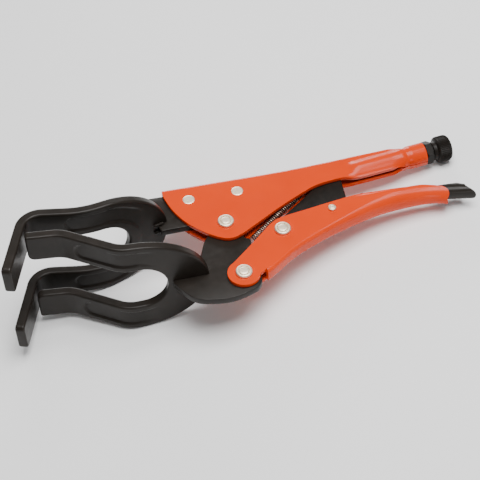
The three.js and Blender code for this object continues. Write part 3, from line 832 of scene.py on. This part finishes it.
# ---- Spring, pins, screw ----
def spring():
    """An extension spring with a hook at each end, on the line from its eye to its tab."""
    start = np.array([*SPRING_EYE, 0], float)
    end = np.array([SPRING_TAB[0] - 1.6, SPRING_TAB[1] - 3, 0], float)
    length = np.linalg.norm(end - start)
    along = (end - start) / length
    across = np.array([-along[1], along[0], 0])
    outward = np.array([0, 0, 1.0])
    coil_from, coil_to = 6.5, length - 6
    turns = (coil_to - coil_from) / COIL_PITCH
    angles = np.linspace(0, 2 * math.pi * turns, int(turns * 18))
    distance = np.linspace(coil_from, coil_to, len(angles))
    coil = (
        start + distance[:, None] * along
        + COIL_RADIUS * (np.cos(angles)[:, None] * across + np.sin(angles)[:, None] * outward)
    )

    def hook(centre, facing, first):
        """Three quarters of a loop, from the end nearer to first."""
        sweep = np.linspace(0, 1.5 * math.pi, 22)
        loop = np.array([
            centre + COIL_RADIUS * (facing * math.cos(a) * along + math.sin(a) * across)
            for a in sweep + math.pi / 2
        ])
        if np.linalg.norm(loop[0] - first) > np.linalg.norm(loop[-1] - first):
            loop = loop[::-1]
        return loop

    front = hook(start + 1.2 * along, 1, coil[0])
    rear = hook(end - 0.6 * along, -1, coil[-1])
    path = np.concatenate([front[::-1], coil, rear])
    gaps = np.concatenate([[0], np.cumsum(np.linalg.norm(np.diff(path, axis=0), axis=1))])
    even = np.linspace(0, gaps[-1], int(gaps[-1] / 0.55))
    path = np.stack([np.interp(even, gaps, column) for column in path.T], axis=-1)
    return tube("return_spring", path, WIRE_RADIUS, around=8), start, end


def headed_pin(name, centre, radius, head_radius, head_height, seat):
    """A pin with a flat head at each end; each head has a raised middle inside a ring groove."""
    middle = 0.62 * head_radius
    side = [
        (radius, 0),
        (radius, seat - 0.1),
        (head_radius - 0.25, seat - 0.1),
        (head_radius, seat + 0.15),
        (head_radius, seat + 0.5 * head_height),
        (head_radius - 0.12 * head_height, seat + 0.74 * head_height),
        (head_radius - 0.32 * head_height, seat + 0.92 * head_height),
        (head_radius - 0.55 * head_height, seat + 0.96 * head_height),
        (middle + 0.46, seat + 0.93 * head_height),
        (middle + 0.2, seat + 0.62 * head_height),
        (middle - 0.1, seat + 0.6 * head_height),
        (middle - 0.32, seat + 0.9 * head_height),
        (middle - 0.6, seat + 0.97 * head_height),
        (0.5 * middle, seat + head_height),
        (0, seat + head_height),
    ]
    profile = [(r, -z) for r, z in side[::-1]] + side[1:]
    return turned(name, profile, on_pivot(centre), segments=72)


def flush_rivet(name, centre):
    top = OUTER_HALF + 0.1
    side = [
        (RIVET_RADIUS, 0), (RIVET_RADIUS, top - 0.15), (RIVET_RADIUS - 0.2, top),
        (RIVET_RADIUS - 1.2, top + 0.05), (0, top + 0.08),
    ]
    profile = [(r, -z) for r, z in side[::-1]] + side[1:]
    return turned(name, profile, on_pivot(centre), segments=64)


def adjusting_screw():
    step = THREAD_PITCH / 8
    steps = int((SCREW_END - THREAD_START) / step)
    profile = [
        (0.5, SCREW_START), (NOSE_RADIUS - 0.4, SCREW_START), (NOSE_RADIUS, SCREW_START + 0.5),
        (NOSE_RADIUS, NOSE_END),
    ]
    profile += [(SCREW_RADIUS, THREAD_START + i * step) for i in range(steps)]
    profile += [(SCREW_RADIUS - THREAD_DEPTH, SCREW_END), (0.5, SCREW_END)]

    def thread(radii, along, angles):
        if not THREAD_START <= along < SCREW_END - 0.1:
            return radii
        turn = (along / THREAD_PITCH - angles / (2 * math.pi)) % 1
        return radii - THREAD_DEPTH * np.abs(2 * turn - 1)

    return turned("adjusting_screw", profile, on_screw, segments=40, ripple=thread)


def lock_nut():
    profile = []
    for share in (0, 0.04, 0.1, 0.17, 0.24, 0.5, 0.76, 0.83, 0.9, 0.96, 1):
        profile.append((NUT_RADIUS, NUT_START + share * (NUT_END - NUT_START)))
    profile = [(SCREW_RADIUS, NUT_START)] + profile + [(SCREW_RADIUS, NUT_END)]

    def hexagon(radii, along, angles):
        if radii[0] < NUT_RADIUS:
            return radii
        flat = NUT_RADIUS * math.cos(math.pi / 6)
        sector = (angles + math.pi / 6) % (math.pi / 3) - math.pi / 6
        depth = min(along - NUT_START, NUT_END - along)
        return np.minimum(flat / np.cos(sector), flat - 0.2 + 1.8 * depth)

    return turned("lock_nut", profile, on_screw, segments=144, ripple=hexagon)


def adjusting_knob():
    front = [
        (SCREW_RADIUS, KNOB_START), (6.6, KNOB_START), (6.9, KNOB_START + 0.3),
        (6.9, KNOB_START + 2.2), (7.1, KNOB_START + 2.8), (8.7, KNOB_START + 3.3),
        (9.4, KNOB_START + 3.9),
    ]
    band = [(KNOB_RADIUS, KNOB_START + 4.5 + 0.45 * i) for i in range(15)]
    back = [
        (9.6, KNOB_END - 2.1), (9.2, KNOB_END - 1.4), (8.5, KNOB_END - 0.75),
        (7.5, KNOB_END - 0.3), (6.2, KNOB_END - 0.08), (5.2, KNOB_END), (4.9, KNOB_END - 0.35),
        (0, KNOB_END - 0.45),
    ]

    def knurl(radii, along, angles):
        if radii[0] < 8.4:
            return radii
        depth = 0.42 * smoothstep(8.4, 9.5, radii[0])
        ribs = np.abs(((angles * KNURLS / (2 * math.pi)) % 1) * 2 - 1)
        return radii - depth * ribs

    return turned(
        "adjusting_knob", front + band + back, on_screw, segments=KNURLS * 8, ripple=knurl,
    )


def threaded_insert():
    profile = [
        (SCREW_RADIUS - 0.2, 52.5), (INSERT_RADIUS, 52.5), (INSERT_RADIUS, TUBE_END - 0.8),
        (INSERT_RADIUS - 0.4, TUBE_END - 0.4), (SCREW_RADIUS - 0.2, TUBE_END - 0.4),
    ]
    return turned("threaded_insert", profile, on_screw, segments=64)


def weld_bead(name, start, end, radius=1.2):
    """A bead of rippled weld metal from start to end."""
    steps = np.linspace(0, 1, 60)
    path = np.array(start) + steps[:, None] * (np.array(end, float) - start)
    length = np.linalg.norm(path[-1] - path[0])
    ends = np.sqrt(np.clip(1 - (2 * np.abs(steps - 0.5)) ** 6, 0.02, 1))
    ripples = 1 + 0.16 * np.sin(steps * length / 1.6 * 2 * math.pi) ** 2
    wander = 1 + 0.16 * np.sin(steps * 11 + start[0])
    return tube(name, path, radius * ends * ripples * wander, around=20)


# ---- The pieces ----
add_piece("upper_fork_bar", fork("upper_fork", UPPER_FORK), black, "upper_jaw", ["upper_fork"])
add_piece("lower_fork_bar", fork("lower_fork", LOWER_FORK), black, "lower_jaw", ["lower_fork"])
add_piece(
    "upper_plate", plate("upper_plate", rounded_outline(UPPER_PLATE), PLATE_HALF), black,
    "upper_jaw", ["upper_jaw_plate"],
)
add_piece(
    "lower_plate", plate("lower_plate", lower_plate_outline(), PLATE_HALF), black,
    "lower_jaw", ["lower_jaw_plate"],
)
add_piece(
    "toggle_plate", plate("toggle_plate", rounded_outline(TOGGLE), PLATE_HALF), dark_steel,
    "toggle", ["toggle_link"],
)
add_piece("upper_handle_shell", upper_handle(), orange, "upper_jaw", ["upper_handle"])
add_piece("lower_handle_shell", lower_handle(), orange, "lower_handle", ["lower_handle"])
add_piece("lever_shell", release_lever(), black, "lever", ["release_lever"])

spring_mesh, spring_from, spring_to = spring()
coil = add_piece("spring_coil", spring_mesh, spring_steel, "upper_jaw", ["return_spring"])
PLIERS @ Vector(spring_to)
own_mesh(coil)

for name, centre, body in (
    ("jaw_pivot_pin", JAW_PIVOT, "upper_jaw"),
    ("handle_pivot_pin", HANDLE_PIVOT, "lower_jaw"),
    ("toggle_pin", TOGGLE_PIVOT, "lower_handle"),
):
    pin = headed_pin(name, centre, PIN_RADIUS, PIN_HEAD_RADIUS, PIN_HEAD_HEIGHT, PIN_SEAT)
    add_piece(name + "_headed", pin, nickel, body, [name])
small_pin = headed_pin(
    "release_lever_pin", LEVER_PIVOT, LEVER_PIN_RADIUS, LEVER_PIN_HEAD_RADIUS,
    LEVER_PIN_HEAD_HEIGHT, LEVER_PIN_SEAT,
)
add_piece("release_lever_pin_headed", small_pin, nickel, "lower_handle", ["release_lever_pin"])
for name, centre in (("front_rivet", FRONT_RIVET), ("rear_rivet", REAR_RIVET)):
    add_piece(name + "_flush", flush_rivet(name, centre), nickel, "upper_jaw", [name])

add_piece("screw_threaded", adjusting_screw(), dark_steel, "screw", ["adjusting_screw"])
add_piece("nut_hexagon", lock_nut(), dark_steel, "nut", ["lock_nut"])
add_piece("knob_knurled", adjusting_knob(), dark_steel, "knob", ["adjusting_knob"])
add_piece("insert_ring", threaded_insert(), dark_steel, "upper_jaw", ["threaded_insert"])

for side, direction in (("near", 1), ("far", -1)):
    z = direction * (PLATE_HALF + 0.8)
    upper = weld_bead("upper_weld", (-50, 10.2, z), (-42.5, 12.3, z))
    lower = weld_bead("lower_weld", (-31.5, -35, z), (-23.5, -35.1, z))
    add_piece(f"upper_bead_{side}", upper, black, "upper_jaw", [f"upper_weld_{side}"])
    add_piece(f"lower_bead_{side}", lower, black, "lower_jaw", [f"lower_weld_{side}"])


# ---- Floor, lights and camera ----
def studio():
    floor_material = bpy.data.materials.new("floor")
    floor_material.use_nodes = True
    shader = floor_material.node_tree.nodes["Principled BSDF"]
    shader.inputs["Base Color"].default_value = (0.9, 0.9, 0.9, 1)
    shader.inputs["Roughness"].default_value = 0.7
    mesh = bpy.data.meshes.new("floor")
    size = 6
    mesh.from_pydata([(-size, -size, 0), (size, -size, 0), (size, size, 0), (-size, size, 0)],
                     [], [(0, 1, 2, 3)])
    mesh.materials.append(floor_material)
    floor = bpy.data.objects.new("floor", mesh)
    bpy.context.scene.collection.objects.link(floor)
    floor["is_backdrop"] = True

    world = bpy.data.worlds.new("studio")
    world.use_nodes = True
    background = world.node_tree.nodes["Background"]
    background.inputs["Color"].default_value = (1, 1, 1, 1)
    background.inputs["Strength"].default_value = 0.25
    bpy.context.scene.world = world


def softbox(name, place, target, size, watts):
    light = bpy.data.lights.new(name, "AREA")
    light.shape = "SQUARE"
    light.size = size
    light.energy = watts
    lamp = bpy.data.objects.new(name, light)
    lamp.location = place
    lamp.rotation_euler = (Vector(target) - Vector(place)).to_track_quat("-Z", "Y").to_euler()
    bpy.context.scene.collection.objects.link(lamp)


def camera():
    data = bpy.data.cameras.new("camera")
    data.lens = CAMERA_LENS
    data.sensor_width = 36
    view = bpy.data.objects.new("camera", data)
    turn = Euler([math.radians(angle) for angle in CAMERA_TURN], "XYZ").to_matrix().transposed()
    rotation = PLIERS.to_3x3().normalized() @ turn
    view.matrix_world = Matrix.Translation(PLIERS @ Vector(CAMERA_PLACE)) @ rotation.to_4x4()
    bpy.context.scene.collection.objects.link(view)
    bpy.context.scene.camera = view


studio()
softbox("key", (0.25, 0, 1.3), (0, 0, 0), 0.9, 31)
softbox("rim", (0.1, 1.5, 0.3), (0, 0, 0), 0.7, 12)
softbox("fill", (0.2, -1.5, 0.45), (0, 0, 0.03), 0.5, 3)
camera()

[[list(map(float, corner)) for corner in box] for box in (cad_box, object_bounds())]
